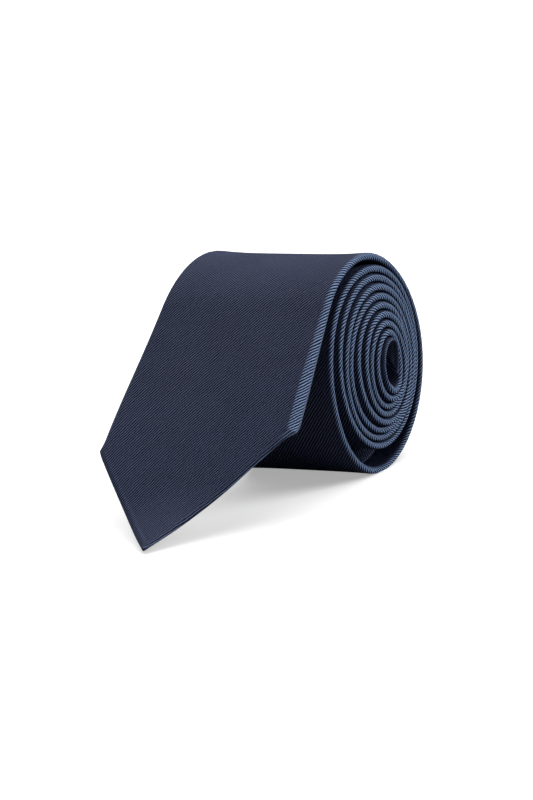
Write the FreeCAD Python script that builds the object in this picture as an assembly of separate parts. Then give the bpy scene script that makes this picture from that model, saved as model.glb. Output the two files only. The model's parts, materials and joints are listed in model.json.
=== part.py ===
import FreeCAD, Part
import math
import os

# A silk necktie, rolled up from its narrow tail, standing on a flat surface.
# The wide front blade leaves the top of the roll, slopes down in front of it
# and rests on its point.  Millimetres.  +X runs along the roll's axis towards
# the end where the folded edges are flush, +Y is away from the blade, +Z is up.
# The origin is the centre of the roll's flattened underside.
#
# Every layer of the tie is a strip that follows one centre line.  A place on it
# is a distance from the blade's point.  On the roll that distance is worked out
# from the turn count: 0 is the top, 0.25 the back, 0.5 the underside, 0.75 the
# front, 1 the top again one layer further in.

# --- widths and lengths of the tie ------------------------------------------------
BLADE_WIDTH = 80.0
NECK_WIDTH = 36.0
TAIL_WIDTH = 48.0
TAPER = 0.096              # loss of width for each unit of length above the point
BLADE_POINT = 52.0         # height of the blade's pointed end
TAIL_POINT = 31.0          # height of the tail's pointed end
TAIL_FLARE = 380.0         # length over which the neck widens into the tail

# --- thicknesses ---------------------------------------------------------------------
SILK = 0.45
WOOL = 1.25
LINING = 0.30
PLY_GAP = 0.05
LAYER = 2 * SILK + WOOL + LINING + 3 * PLY_GAP
HALF = LAYER / 2
FOLD_RADIUS = 1.1          # outside radius of the pressed side folds
SEAM_GAP = 0.5             # half the space between the two flaps at the back
HEM = 9.0                  # width of the folded hem round each point

# --- the roll, measured on the outer face of its layers -------------------------------
ROLL_HEIGHT = 86.0
FLAT_DEPTH = 0.2           # how far the underside is pressed flat
TOP_Y = -2.0               # where the blade leaves the top of the roll
TOP_HALF_DEPTH = 40.0      # of the outer turn, where it starts at the top
OUTER_HALF_DEPTH = 41.8    # of the outer turn, where it reaches the back
INNER_CENTRE_Y = 3.0
INNER_CENTRE_Z = 43.7
INNER_HALF_DEPTH = 34.2
INNER_HALF_HEIGHT = 36.7
PITCH_Y = 3.42             # loss of half depth in each turn
PITCH_Z = 3.30             # loss of half height in each turn
DRIFT_Y = 0.60             # backward shift of the centre in each turn
DRIFT_Z = -0.37            # downward shift of the centre in each turn
TURNS = 9.35
STEP_OUT = 0.56            # how far each turn stands out past the one around it
FIRST_STEP_OUT = 0.8       # the turn from which they stand out

# --- the hanging blade ----------------------------------------------------------------
BEND_RADIUS = 45.7         # bend over the top of the roll
SLOPE = math.radians(44.0)
TIP_SLOPE = math.radians(12.0)
TIP_RADIUS = 62.0          # the upward sweep near the point
IN_PLANE_TURN = 0.045      # radians, turn of the blade towards +X at its point
TWIST_BACK = 0.367         # how the right edge swings back and up towards the point
TWIST_UP = 0.196

# --- where the tie bends, opens and is sewn -------------------------------------------
BEND_GAP = 2.4             # bare length left at each bend line
LIFT_FORWARD = 17.0        # the blade's bend line, this far in front of the top
PEEL_TURN = 0.25           # the outer turn opens from the back of the roll
NECK_SEAM_TURN = 3.55
TAIL_SEAM_TURN = 6.80
SEAM_SPACE = 0.4           # bare length at a piecing seam
BLADE_TACK = 100.0         # the flaps close here, measured from the blade's point
TAIL_TACK = 62.0           # the same, measured from the tail's point
KEEPER_TURN = 0.475
KEEPER_LENGTH = 15.0
KEEPER_SPAN = 40.0
KEEPER_THICK = 1.1
KEEPER_RISE = 0.5
LABEL_TURN = 0.385
LABEL_LENGTH = 22.0
LABEL_SPAN = 34.0
CARE_LENGTH = 12.0
CARE_SPAN = 20.0
LABEL_THICK = 0.3
THREAD = 0.3

SAMPLES_PER_TURN = 24
LONGEST_STEP = 2.5         # between neighbouring cross-sections
TABLE_STEPS_PER_TURN = 400
BLUNT = 2.0                # both points stop this far from their sharp end
CORNER_WEIGHT = math.sqrt(0.5)


def smooth(t):
    """0 below 0, 1 above 1 and an even curve between."""
    t = min(max(t, 0.0), 1.0)
    return t * t * (3 - 2 * t)


# --- the centre line -------------------------------------------------------------------

def straight_length():
    """Length of the straight part that brings the point down to the surface."""
    bends = BEND_RADIUS * (1 - math.cos(SLOPE))
    bends += TIP_RADIUS * (math.cos(TIP_SLOPE) - math.cos(SLOPE))
    height = ROLL_HEIGHT - FLAT_DEPTH - LAYER + BLUNT * math.sin(TIP_SLOPE) - bends
    return height / math.sin(SLOPE)


STRAIGHT = straight_length()
BEND_LENGTH = BEND_RADIUS * SLOPE
SWEEP_LENGTH = TIP_RADIUS * (SLOPE - TIP_SLOPE)
HANG = BEND_LENGTH + STRAIGHT + SWEEP_LENGTH
TOP_Z = ROLL_HEIGHT - FLAT_DEPTH - HALF


def blade_centre(below):
    """y, z and slope of the centre line at a distance below the roll's top."""
    bend = min(below, BEND_LENGTH)
    slope = bend / BEND_RADIUS
    y = TOP_Y - BEND_RADIUS * math.sin(slope)
    z = TOP_Z - BEND_RADIUS * (1 - math.cos(slope))
    straight = min(max(below - BEND_LENGTH, 0.0), STRAIGHT)
    y -= straight * math.cos(SLOPE)
    z -= straight * math.sin(SLOPE)
    sweep = max(below - BEND_LENGTH - STRAIGHT, 0.0)
    if sweep > 0:
        slope = SLOPE - sweep / TIP_RADIUS
        y -= TIP_RADIUS * (math.sin(SLOPE) - math.sin(slope))
        z -= TIP_RADIUS * (math.cos(slope) - math.cos(SLOPE))
    return y, z, slope


def roll_centre(turn):
    """y and z of the centre line on the roll."""
    inward = max(turn - 1.0, 0.0)
    outer_half_height = ROLL_HEIGHT / 2
    outer_centre_z = outer_half_height - FLAT_DEPTH
    settle_z = smooth((turn - 0.5) / 0.5)
    settle_y = smooth((turn - PEEL_TURN) / 0.5)
    half_height = outer_half_height
    half_height += settle_z * (INNER_HALF_HEIGHT - PITCH_Z * (turn - 1.0) - outer_half_height)
    half_depth = TOP_HALF_DEPTH
    half_depth += smooth(turn / PEEL_TURN) * (OUTER_HALF_DEPTH - TOP_HALF_DEPTH)
    half_depth += settle_y * (INNER_HALF_DEPTH - PITCH_Y * (turn - 1.0) - OUTER_HALF_DEPTH)
    centre_z = outer_centre_z + settle_z * (INNER_CENTRE_Z - outer_centre_z) + DRIFT_Z * inward
    centre_y = TOP_Y + smooth(turn / 1.1) * (INNER_CENTRE_Y - TOP_Y) + DRIFT_Y * inward
    angle = 2 * math.pi * turn
    y = centre_y + (half_depth - HALF) * math.sin(angle)
    z = centre_z + (half_height - HALF) * math.cos(angle)
    return y, z


def measure_roll():
    """Distance from the blade's point at evenly spaced turn counts."""
    steps = int(TURNS * TABLE_STEPS_PER_TURN)
    reached = [HANG]
    before = roll_centre(0.0)
    for i in range(1, steps + 1):
        here = roll_centre(TURNS * i / steps)
        reached.append(reached[-1] + math.dist(before, here))
        before = here
    return reached


ROLL_TABLE = measure_roll()
LENGTH = ROLL_TABLE[-1]


def distance_at(turn):
    """Distance from the blade's point at a turn count."""
    place = turn / TURNS * (len(ROLL_TABLE) - 1)
    low = min(int(place), len(ROLL_TABLE) - 2)
    return ROLL_TABLE[low] + (place - low) * (ROLL_TABLE[low + 1] - ROLL_TABLE[low])


def turn_at(distance):
    """Turn count at a distance from the blade's point."""
    low = 0
    high = len(ROLL_TABLE) - 1
    while high - low > 1:
        middle = (low + high) // 2
        if ROLL_TABLE[middle] <= distance:
            low = middle
        else:
            high = middle
    part = (distance - ROLL_TABLE[low]) / (ROLL_TABLE[high] - ROLL_TABLE[low])
    return (low + part) / (len(ROLL_TABLE) - 1) * TURNS


def width_at(distance):
    """Finished width of the tie at a distance from the blade's point."""
    from_tail = LENGTH - distance
    if distance < BLADE_POINT:
        return BLADE_WIDTH * distance / BLADE_POINT
    if from_tail < TAIL_POINT:
        return TAIL_WIDTH * from_tail / TAIL_POINT
    body = max(BLADE_WIDTH - TAPER * (distance - BLADE_POINT), NECK_WIDTH)
    flare = smooth(1 - (from_tail - TAIL_POINT) / TAIL_FLARE)
    return body + flare * (TAIL_WIDTH - NECK_WIDTH)


FLUSH_X = width_at(distance_at(0.5)) / 2


class Station:
    """A cross-section of the tie: its centre, its sideways direction and its outward normal."""

    def __init__(self, distance):
        self.distance = distance
        self.half_width = width_at(distance) / 2
        if distance < HANG:
            self.place_on_blade()
        else:
            self.place_on_roll()

    def place_on_blade(self):
        below = HANG - self.distance
        share = below / HANG
        y, z, slope = blade_centre(below)
        drift = IN_PLANE_TURN * below * share * share / 3
        x = FLUSH_X - width_at(HANG) / 2 + drift
        self.centre = FreeCAD.Vector(x, y, z)
        down = FreeCAD.Vector(0, -math.cos(slope), -math.sin(slope))
        heading = IN_PLANE_TURN * share * share
        across = FreeCAD.Vector(1, 0, 0) * math.cos(heading) - down * math.sin(heading)
        across += FreeCAD.Vector(0, TWIST_BACK, TWIST_UP) * share * share
        self.across = across.normalize()
        along = down - self.across * down.dot(self.across)
        self.normal = along.cross(self.across).normalize()

    def place_on_roll(self):
        turn = turn_at(self.distance)
        step = 0.5 / TABLE_STEPS_PER_TURN
        y, z = roll_centre(turn)
        y_before, z_before = roll_centre(turn - step)
        y_after, z_after = roll_centre(turn + step)
        along = FreeCAD.Vector(0, y_after - y_before, z_after - z_before).normalize()
        stand_out = STEP_OUT * max(turn - FIRST_STEP_OUT, 0.0)
        self.centre = FreeCAD.Vector(FLUSH_X + stand_out - self.half_width, y, z)
        self.across = FreeCAD.Vector(1, 0, 0)
        self.normal = FreeCAD.Vector(0, -along.z, along.y)

    def point(self, across, out):
        return self.centre + self.across * across + self.normal * out


def stations(start, end):
    """Evenly spaced cross-sections, close enough to follow the tightest bend between them."""
    count = max(8, int((end - start) / LONGEST_STEP))
    if end > HANG:
        turns = turn_at(end) - turn_at(max(start, HANG))
        count = max(count, int(math.ceil(turns * SAMPLES_PER_TURN)))
    step = (end - start) / count
    return [Station(start + step * i) for i in range(count + 1)]


# --- strips ---------------------------------------------------------------------------

def outline_rows(outline):
    """Turns corners (across, out, radius) into rows; a rounded corner gives three rows."""
    rows = []
    count = len(outline)
    for i, (u, o, radius) in enumerate(outline):
        if radius == 0:
            rows.append([(u, o)])
            continue
        u0, o0, _ = outline[i - 1]
        u1, o1, _ = outline[(i + 1) % count]
        before = math.hypot(u0 - u, o0 - o)
        after = math.hypot(u1 - u, o1 - o)
        first = (u + (u0 - u) * radius / before, o + (o0 - o) * radius / before)
        last = (u + (u1 - u) * radius / after, o + (o1 - o) * radius / after)
        rows.append([first, (u, o), last])
    return rows


def surface(curves, weights):
    """The face between neighbouring long curves, straight or rounded across."""
    base = curves[0]
    poles = [list(column) for column in zip(*[c.getPoles() for c in curves])]
    result = Part.BSplineSurface()
    across = len(curves)
    result.buildFromPolesMultsKnots(
        poles, base.getMultiplicities(), [across, across], base.getKnots(), [0.0, 1.0],
        False, False, base.Degree, across - 1, [weights] * len(poles))
    return result.toShape()


def cap(rows_of_points):
    """The flat end of a strip."""
    edges = []
    count = len(rows_of_points)
    for i, row in enumerate(rows_of_points):
        if len(row) == 3:
            arc = Part.BSplineCurve()
            arc.buildFromPolesMultsKnots(row, [3, 3], [0.0, 1.0], False, 2, [1, CORNER_WEIGHT, 1])
            edges.append(arc.toShape())
        following = rows_of_points[(i + 1) % count]
        edges.append(Part.makeLine(row[-1], following[0]))
    return Part.Face(Part.Wire(edges))


def strip(places, section):
    """A solid that carries a cross-section along the tie.  section(station) lists its corners."""
    outlines = [outline_rows(section(place)) for place in places]
    distances = [place.distance for place in places]
    long_curves = []
    for i, row in enumerate(outlines[0]):
        group = []
        for j in range(len(row)):
            points = [place.point(*rows[i][j]) for place, rows in zip(places, outlines)]
            curve = Part.BSplineCurve()
            curve.interpolate(Points=points, Parameters=distances)
            group.append(curve)
        long_curves.append(group)
    faces = []
    count = len(long_curves)
    for i, group in enumerate(long_curves):
        if len(group) == 3:
            faces.append(surface(group, [1, CORNER_WEIGHT, 1]))
        following = long_curves[(i + 1) % count]
        faces.append(surface([group[-1], following[0]], [1, 1]))
    for place, rows in ((places[0], outlines[0]), (places[-1], outlines[-1])):
        faces.append(cap([[place.point(*corner) for corner in row] for row in rows]))
    shell = Part.makeShell(faces)
    shell.sewShape()
    solid = Part.makeSolid(shell)
    if solid.Volume < 0:
        solid.reverse()
    return solid


def box_section(left, right, low, high):
    """A plain four-cornered cross-section; left and right may be functions of the station."""
    def section(place):
        a = left(place) if callable(left) else left
        b = right(place) if callable(right) else right
        return [(b, low, 0), (b, high, 0), (a, high, 0), (a, low, 0)]
    return section


def folded_section(flap_reach):
    """Silk folded round both sides: front face, two side folds and two flaps behind."""
    def section(place):
        w = place.half_width
        round_ = min(FOLD_RADIUS, w / 2)
        reach = flap_reach(place)
        back = SILK - HALF
        front = HALF - SILK
        inner = w - SILK
        return [
            (w - reach, -HALF, 0), (w, -HALF, round_), (w, HALF, round_),
            (-w, HALF, round_), (-w, -HALF, round_), (reach - w, -HALF, 0),
            (reach - w, back, 0), (-inner, back, 0), (-inner, front, 0),
            (inner, front, 0), (inner, back, 0), (w - reach, back, 0)]
    return section


def hem_reach(place):
    """Width of the folded hem beside a point."""
    return min(HEM, place.half_width * 0.75)


def blade_flap_reach(place):
    """The flaps open out from the tack towards the blade's shoulders."""
    closed = place.half_width - SEAM_GAP
    share = (place.distance - BLADE_POINT) / (BLADE_TACK - BLADE_POINT)
    return HEM + (closed - HEM) * min(max(share, 0.0), 1.0)


def tail_flap_reach(place):
    """The flaps open out from the tack towards the tail's shoulders."""
    closed = place.half_width - SEAM_GAP
    share = (LENGTH - place.distance - TAIL_POINT) / (TAIL_TACK - TAIL_POINT)
    return HEM + (closed - HEM) * smooth(share)


def closed_reach(place):
    """The flaps meet along the middle of the back."""
    return place.half_width - SEAM_GAP


def wool_strip(start, end):
    """Woollen interlining, just inside the folds."""
    side = SILK + 2 * PLY_GAP
    high = HALF - SILK - PLY_GAP
    section = box_section(lambda p: side - p.half_width, lambda p: p.half_width - side, high - WOOL, high)
    return strip(stations(start, end), section)


def lining_strip(start, end):
    """Tipping: the lining between the interlining and the flaps near a point."""
    side = SILK + 3 * PLY_GAP
    low = SILK - HALF + PLY_GAP
    section = box_section(lambda p: side - p.half_width, lambda p: p.half_width - side, low, low + LINING)
    return strip(stations(start, end), section)


def seam_thread(start, end):
    """Slip-stitch thread, lying in the space between the two flaps."""
    low = SILK / 2 - HALF
    return strip(stations(start, end), box_section(-THREAD / 2, THREAD / 2, low - THREAD / 2, low + THREAD / 2))


def patch(middle, length, left, right, low, high):
    """A short flat piece lying on the back of the tie."""
    return strip(stations(middle - length / 2, middle + length / 2), box_section(left, right, low, high))


# --- the places where the tie bends and is joined -------------------------------------

LIFT_AT = HANG - LIFT_FORWARD
PEEL_AT = distance_at(PEEL_TURN)
NECK_SEAM_AT = distance_at(NECK_SEAM_TURN)
TAIL_SEAM_AT = distance_at(TAIL_SEAM_TURN)
TAIL_SHOULDER_AT = LENGTH - TAIL_POINT
HALF_BEND = BEND_GAP / 2
HALF_SEAM = SEAM_SPACE / 2
CORE_HALF_BEND = 0.5


# --- silk ------------------------------------------------------------------------------

def blade_panel_point():
    return strip(stations(BLUNT, BLADE_POINT - HALF_BEND), folded_section(hem_reach))


def blade_panel_hanging():
    lower = strip(stations(BLADE_POINT + HALF_BEND, BLADE_TACK), folded_section(blade_flap_reach))
    upper = strip(stations(BLADE_TACK, LIFT_AT - HALF_BEND), folded_section(closed_reach))
    return lower.fuse(upper).removeSplitter()


def blade_panel_outer_turn():
    return strip(stations(LIFT_AT + HALF_BEND, PEEL_AT - HALF_BEND), folded_section(closed_reach))


def blade_panel_rolled():
    panel = strip(stations(PEEL_AT + HALF_BEND, NECK_SEAM_AT - HALF_SEAM), folded_section(closed_reach))
    below = Part.makeBox(4 * BLADE_WIDTH, BLADE_WIDTH, BLADE_WIDTH)
    below.translate(FreeCAD.Vector(-2 * BLADE_WIDTH, -BLADE_WIDTH / 2, -BLADE_WIDTH))
    return panel.cut(below)


def neck_panel():
    return strip(stations(NECK_SEAM_AT + HALF_SEAM, TAIL_SEAM_AT - CORE_HALF_BEND), folded_section(closed_reach))


def tail_panel():
    shank = strip(stations(TAIL_SEAM_AT + CORE_HALF_BEND, TAIL_SHOULDER_AT), folded_section(tail_flap_reach))
    point = strip(stations(TAIL_SHOULDER_AT, LENGTH - BLUNT), folded_section(hem_reach))
    return shank.fuse(point).removeSplitter()


# --- interlining and tipping -------------------------------------------------------------

WOOL_FROM_POINT = 6.0


def interlining_point():
    return wool_strip(WOOL_FROM_POINT, BLADE_POINT - HALF_BEND)


def interlining_hanging():
    return wool_strip(BLADE_POINT + HALF_BEND, LIFT_AT - HALF_BEND)


def interlining_outer_turn():
    return wool_strip(LIFT_AT + HALF_BEND, PEEL_AT - HALF_BEND)


def interlining_rolled():
    return wool_strip(PEEL_AT + HALF_BEND, TAIL_SEAM_AT - CORE_HALF_BEND)


def interlining_tail():
    shank = wool_strip(TAIL_SEAM_AT + CORE_HALF_BEND, TAIL_SHOULDER_AT)
    point = wool_strip(TAIL_SHOULDER_AT, LENGTH - WOOL_FROM_POINT)
    return shank.fuse(point).removeSplitter()


def blade_tipping_point():
    return lining_strip(WOOL_FROM_POINT, BLADE_POINT - HALF_BEND)


def blade_tipping_upper():
    return lining_strip(BLADE_POINT + HALF_BEND, BLADE_TACK + HEM)


def tail_tipping():
    shank = lining_strip(LENGTH - TAIL_TACK - HEM, TAIL_SHOULDER_AT)
    point = lining_strip(TAIL_SHOULDER_AT, LENGTH - WOOL_FROM_POINT)
    return shank.fuse(point).removeSplitter()


# --- threads ------------------------------------------------------------------------------

TACK_SPAN = 7.0
TACK_LENGTH = 1.6
STITCH_PITCH = 2.6
STITCH_SHARE = 0.7         # the part of each pitch where the stitch shows


def tack(distance):
    """A bar tack across the two flaps where they start to part."""
    low = -HALF - PLY_GAP - THREAD
    return patch(distance, TACK_LENGTH, -TACK_SPAN / 2, TACK_SPAN / 2, low, low + THREAD)


def bar_tack_blade():
    return tack(BLADE_TACK + TACK_LENGTH)


def bar_tack_tail():
    return tack(LENGTH - TAIL_TACK - TACK_LENGTH)


def slip_stitch_hanging():
    return seam_thread(BLADE_TACK + PLY_GAP, LIFT_AT - HALF_BEND)


def slip_stitch_outer_turn():
    return seam_thread(LIFT_AT + HALF_BEND, PEEL_AT - HALF_BEND)


def slip_stitch_rolled():
    return seam_thread(PEEL_AT + HALF_BEND, TAIL_SEAM_AT - CORE_HALF_BEND)


def slip_stitch_tail():
    return seam_thread(TAIL_SEAM_AT + CORE_HALF_BEND, LENGTH - TAIL_TACK)


def seam_stitches(distance):
    """Machine stitches across the tie, through a seam that joins two panels of silk."""
    usable = 2 * Station(distance).half_width - 4 * FOLD_RADIUS
    count = int(usable / STITCH_PITCH)
    high = HALF - PLY_GAP
    pieces = []
    for i in range(count):
        left = (i - count / 2) * STITCH_PITCH
        right = left + STITCH_PITCH * STITCH_SHARE
        pieces.append(patch(distance, THREAD, left, right, high - THREAD, high))
    return Part.makeCompound(pieces)


def neck_seam_thread():
    return seam_stitches(NECK_SEAM_AT)


def tail_seam_thread():
    return seam_stitches(TAIL_SEAM_AT)


# --- keeper loop and labels ----------------------------------------------------------------

KEEPER_AT = distance_at(KEEPER_TURN)
LABEL_AT = distance_at(LABEL_TURN)
UNDER_BACK = -HALF - PLY_GAP


def keeper_loop():
    """Band across the back that holds the tail when the tie is worn; both ends are sewn down."""
    half = KEEPER_SPAN / 2
    foot = 3.0
    low = UNDER_BACK - KEEPER_RISE - KEEPER_THICK
    band = patch(KEEPER_AT, KEEPER_LENGTH, -half, half, low, low + KEEPER_THICK)
    left = patch(KEEPER_AT, KEEPER_LENGTH, -half, foot - half, low + KEEPER_THICK, UNDER_BACK)
    right = patch(KEEPER_AT, KEEPER_LENGTH, half - foot, half, low + KEEPER_THICK, UNDER_BACK)
    return band.fuse(left).fuse(right).removeSplitter()


def keeper_stitches():
    """Two short tacks at each end of the keeper loop, on the face away from the tie."""
    high = UNDER_BACK - KEEPER_RISE - KEEPER_THICK - PLY_GAP
    reach = KEEPER_SPAN / 2 - 1.5
    offset = KEEPER_LENGTH / 2 - 2.5
    pieces = []
    for side in (-1, 1):
        for end in (-1, 1):
            middle = side * reach
            pieces.append(patch(KEEPER_AT + end * offset, 3.0, middle - 0.3, middle + 0.3, high - THREAD, high))
    return Part.makeCompound(pieces)


def maker_label():
    """Plain woven label sewn flat on the back, with nothing written on it."""
    half = LABEL_SPAN / 2
    return patch(LABEL_AT, LABEL_LENGTH, -half, half, UNDER_BACK - LABEL_THICK, UNDER_BACK)


def care_label():
    """Small plain label sewn on top of the larger one."""
    high = UNDER_BACK - LABEL_THICK - PLY_GAP
    half = CARE_SPAN / 2
    return patch(LABEL_AT + 2.0, CARE_LENGTH, -half, half, high - LABEL_THICK, high)


def label_stitches():
    """A tack at each corner of the larger label."""
    high = UNDER_BACK - LABEL_THICK - PLY_GAP
    reach = LABEL_SPAN / 2 - 2.0
    offset = LABEL_LENGTH / 2 - 1.5
    pieces = []
    for side in (-1, 1):
        for end in (-1, 1):
            middle = side * reach
            pieces.append(patch(LABEL_AT + end * offset, 1.2, middle - 1.2, middle + 1.2, high - THREAD, high))
    return Part.makeCompound(pieces)


PARTS = [
    blade_panel_point, blade_panel_hanging, blade_panel_outer_turn, blade_panel_rolled,
    neck_panel, tail_panel,
    interlining_point, interlining_hanging, interlining_outer_turn, interlining_rolled,
    interlining_tail,
    blade_tipping_point, blade_tipping_upper, tail_tipping,
    bar_tack_blade, bar_tack_tail,
    slip_stitch_hanging, slip_stitch_outer_turn, slip_stitch_rolled, slip_stitch_tail,
    neck_seam_thread, tail_seam_thread,
    keeper_loop, keeper_stitches, maker_label, care_label, label_stitches,
]


def main():
    os.makedirs("parts", exist_ok=True)
    for make in PARTS:
        make().exportStep("parts/" + make.__name__ + ".step")


main()
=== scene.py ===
import json
import math
import bpy
import numpy as np
from mathutils import Matrix, Vector


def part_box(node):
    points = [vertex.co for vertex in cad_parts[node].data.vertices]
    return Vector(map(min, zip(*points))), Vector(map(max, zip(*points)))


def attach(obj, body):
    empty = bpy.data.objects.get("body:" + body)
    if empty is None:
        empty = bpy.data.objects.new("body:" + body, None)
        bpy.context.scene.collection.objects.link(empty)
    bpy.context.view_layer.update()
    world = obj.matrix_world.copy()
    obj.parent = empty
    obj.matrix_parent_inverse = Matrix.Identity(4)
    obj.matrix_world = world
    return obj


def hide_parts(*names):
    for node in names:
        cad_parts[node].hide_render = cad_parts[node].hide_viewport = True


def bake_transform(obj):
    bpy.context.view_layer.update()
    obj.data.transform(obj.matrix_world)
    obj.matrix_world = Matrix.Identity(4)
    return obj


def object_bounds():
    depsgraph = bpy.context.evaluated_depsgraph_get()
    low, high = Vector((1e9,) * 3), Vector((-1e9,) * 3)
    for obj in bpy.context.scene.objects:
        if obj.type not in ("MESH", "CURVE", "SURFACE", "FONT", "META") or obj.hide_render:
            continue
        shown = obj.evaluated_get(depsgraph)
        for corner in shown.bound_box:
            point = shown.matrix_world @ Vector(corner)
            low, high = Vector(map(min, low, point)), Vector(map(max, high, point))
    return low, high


# A navy silk necktie, rolled up from its tail, with its wide blade sloping down
# in front of the roll.  Shapes are worked out in millimetres and written to the
# meshes in metres.  A place on the tie is its distance from the blade's point,
# its distance across from the middle, and its distance out from the middle of
# the tie's thickness.  On the roll a turn count of 0 is the top, 0.25 the back,
# 0.5 the underside and 0.75 the front.

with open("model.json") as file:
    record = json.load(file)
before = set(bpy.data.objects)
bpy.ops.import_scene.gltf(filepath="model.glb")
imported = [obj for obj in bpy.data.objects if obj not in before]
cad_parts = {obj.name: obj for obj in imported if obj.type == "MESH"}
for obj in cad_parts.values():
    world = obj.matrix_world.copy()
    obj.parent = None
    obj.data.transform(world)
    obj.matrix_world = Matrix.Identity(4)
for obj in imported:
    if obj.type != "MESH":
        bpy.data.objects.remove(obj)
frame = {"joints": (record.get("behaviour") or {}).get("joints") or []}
CAD_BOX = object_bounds()
MM = 0.001
JOINTS = {joint["name"]: joint for joint in frame["joints"]}

# --- widths and lengths of the tie --------------------------------------------------
BLADE_WIDTH = 80.0
NECK_WIDTH = 36.0
TAIL_WIDTH = 48.0
TAPER = 0.096
BLADE_POINT = 52.0
TAIL_POINT = 31.0
TAIL_FLARE = 380.0
SHORT = 2.6                # the blade's cloth ends this far short of where distances start
SHOULDER = BLADE_POINT + 2.8   # where the cloth's shoulders lie
SILK = 0.45
HEM = 9.0

# --- the roll -------------------------------------------------------------------------
ROLL_HEIGHT = CAD_BOX[1].z / MM + 0.2
FLUSH_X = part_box("blade_panel_outer_turn")[1].x / MM
FLAT_DEPTH = 0.2
HALF = 1.3
TOP_Y = -2.0
TOP_HALF_DEPTH = 40.0
OUTER_HALF_DEPTH = 41.8
INNER_CENTRE_Y = 3.0
INNER_CENTRE_Z = 43.7
INNER_HALF_DEPTH = 34.2
INNER_HALF_HEIGHT = 36.7
PITCH_Y = 3.42
PITCH_Z = 3.30
DRIFT_Y = 0.60
DRIFT_Z = -0.37
TURNS = 9.35
STEP_OUT = 0.56
FIRST_STEP_OUT = 0.8
CORE_CURL = 2.2            # how far the tail's end curls inwards, off the turn around it
CORE_CURL_TURN = 8.95
PEEL_TURN = 0.25
KEEPER_TURN = 0.475
LABEL_TURN = 0.385         # on the part of the outer turn that stays with the roll
NECK_SEAM_TURN = 3.55
TAIL_SEAM_TURN = 6.80

# --- the hanging blade ------------------------------------------------------------------
BEND_RADIUS = 45.7
SLOPE = math.radians(44.0)
TIP_SLOPE = math.radians(12.0)
TIP_RADIUS = 62.0
IN_PLANE_TURN = 0.045
TWIST_BACK = 0.367
TWIST_UP = 0.196
LIFT_FORWARD = 17.0
BLADE_TACK = 100.0
TAIL_TACK = 62.0
BLUNT = 2.0

TABLE_STEPS_PER_TURN = 400


def smooth(t):
    """0 below 0, 1 above 1 and an even curve between."""
    t = np.clip(t, 0.0, 1.0)
    return t * t * (3 - 2 * t)


# --- the centre line --------------------------------------------------------------------

def straight_length():
    """Length of the straight part that brings the point down to the surface."""
    bends = BEND_RADIUS * (1 - math.cos(SLOPE))
    bends += TIP_RADIUS * (math.cos(TIP_SLOPE) - math.cos(SLOPE))
    height = ROLL_HEIGHT - FLAT_DEPTH - 2 * HALF + BLUNT * math.sin(TIP_SLOPE) - bends
    return height / math.sin(SLOPE)


STRAIGHT = straight_length()
BEND_LENGTH = BEND_RADIUS * SLOPE
HANG = BEND_LENGTH + STRAIGHT + TIP_RADIUS * (SLOPE - TIP_SLOPE)
TOP_Z = ROLL_HEIGHT - FLAT_DEPTH - HALF


def blade_centre(below):
    """y, z and slope of the centre line at distances below the roll's top."""
    slope = np.minimum(below, BEND_LENGTH) / BEND_RADIUS
    straight = np.clip(below - BEND_LENGTH, 0.0, STRAIGHT)
    y = TOP_Y - BEND_RADIUS * np.sin(slope) - straight * math.cos(SLOPE)
    z = TOP_Z - BEND_RADIUS * (1 - np.cos(slope)) - straight * math.sin(SLOPE)
    slope = slope - np.maximum(below - BEND_LENGTH - STRAIGHT, 0.0) / TIP_RADIUS
    swept = below > BEND_LENGTH + STRAIGHT
    y -= np.where(swept, TIP_RADIUS * (math.sin(SLOPE) - np.sin(slope)), 0.0)
    z -= np.where(swept, TIP_RADIUS * (np.cos(slope) - math.cos(SLOPE)), 0.0)
    return y, z, slope


def roll_centre(turn):
    """y and z of the centre line on the roll."""
    inward = np.maximum(turn - 1.0, 0.0)
    outer_half_height = ROLL_HEIGHT / 2
    outer_centre_z = outer_half_height - FLAT_DEPTH
    settle_z = smooth((turn - 0.5) / 0.5)
    settle_y = smooth((turn - PEEL_TURN) / 0.5)
    half_height = outer_half_height
    half_height = half_height + settle_z * (INNER_HALF_HEIGHT - PITCH_Z * (turn - 1.0) - outer_half_height)
    half_depth = TOP_HALF_DEPTH + smooth(turn / PEEL_TURN) * (OUTER_HALF_DEPTH - TOP_HALF_DEPTH)
    half_depth = half_depth + settle_y * (INNER_HALF_DEPTH - PITCH_Y * (turn - 1.0) - OUTER_HALF_DEPTH)
    half_depth = half_depth - CORE_CURL * smooth((turn - CORE_CURL_TURN) / 0.25)
    centre_z = outer_centre_z + settle_z * (INNER_CENTRE_Z - outer_centre_z) + DRIFT_Z * inward
    centre_y = TOP_Y + smooth(turn / 1.1) * (INNER_CENTRE_Y - TOP_Y) + DRIFT_Y * inward
    angle = 2 * math.pi * turn
    y = centre_y + (half_depth - HALF) * np.sin(angle)
    z = centre_z + (half_height - HALF) * np.cos(angle)
    return y, z


TABLE_TURNS = np.linspace(0.0, TURNS, int(TURNS * TABLE_STEPS_PER_TURN) + 1)
TABLE_STEPS = np.hypot(*[np.diff(values) for values in roll_centre(TABLE_TURNS)])
TABLE_DISTANCES = HANG + np.concatenate([[0.0], np.cumsum(TABLE_STEPS)])
LENGTH = TABLE_DISTANCES[-1]


def distance_at(turn):
    """Distance from the blade's point at a turn count."""
    return float(np.interp(turn, TABLE_TURNS, TABLE_DISTANCES))


def turn_at(distance):
    """Turn count at distances from the blade's point."""
    return np.interp(distance, TABLE_DISTANCES, TABLE_TURNS)


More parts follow.
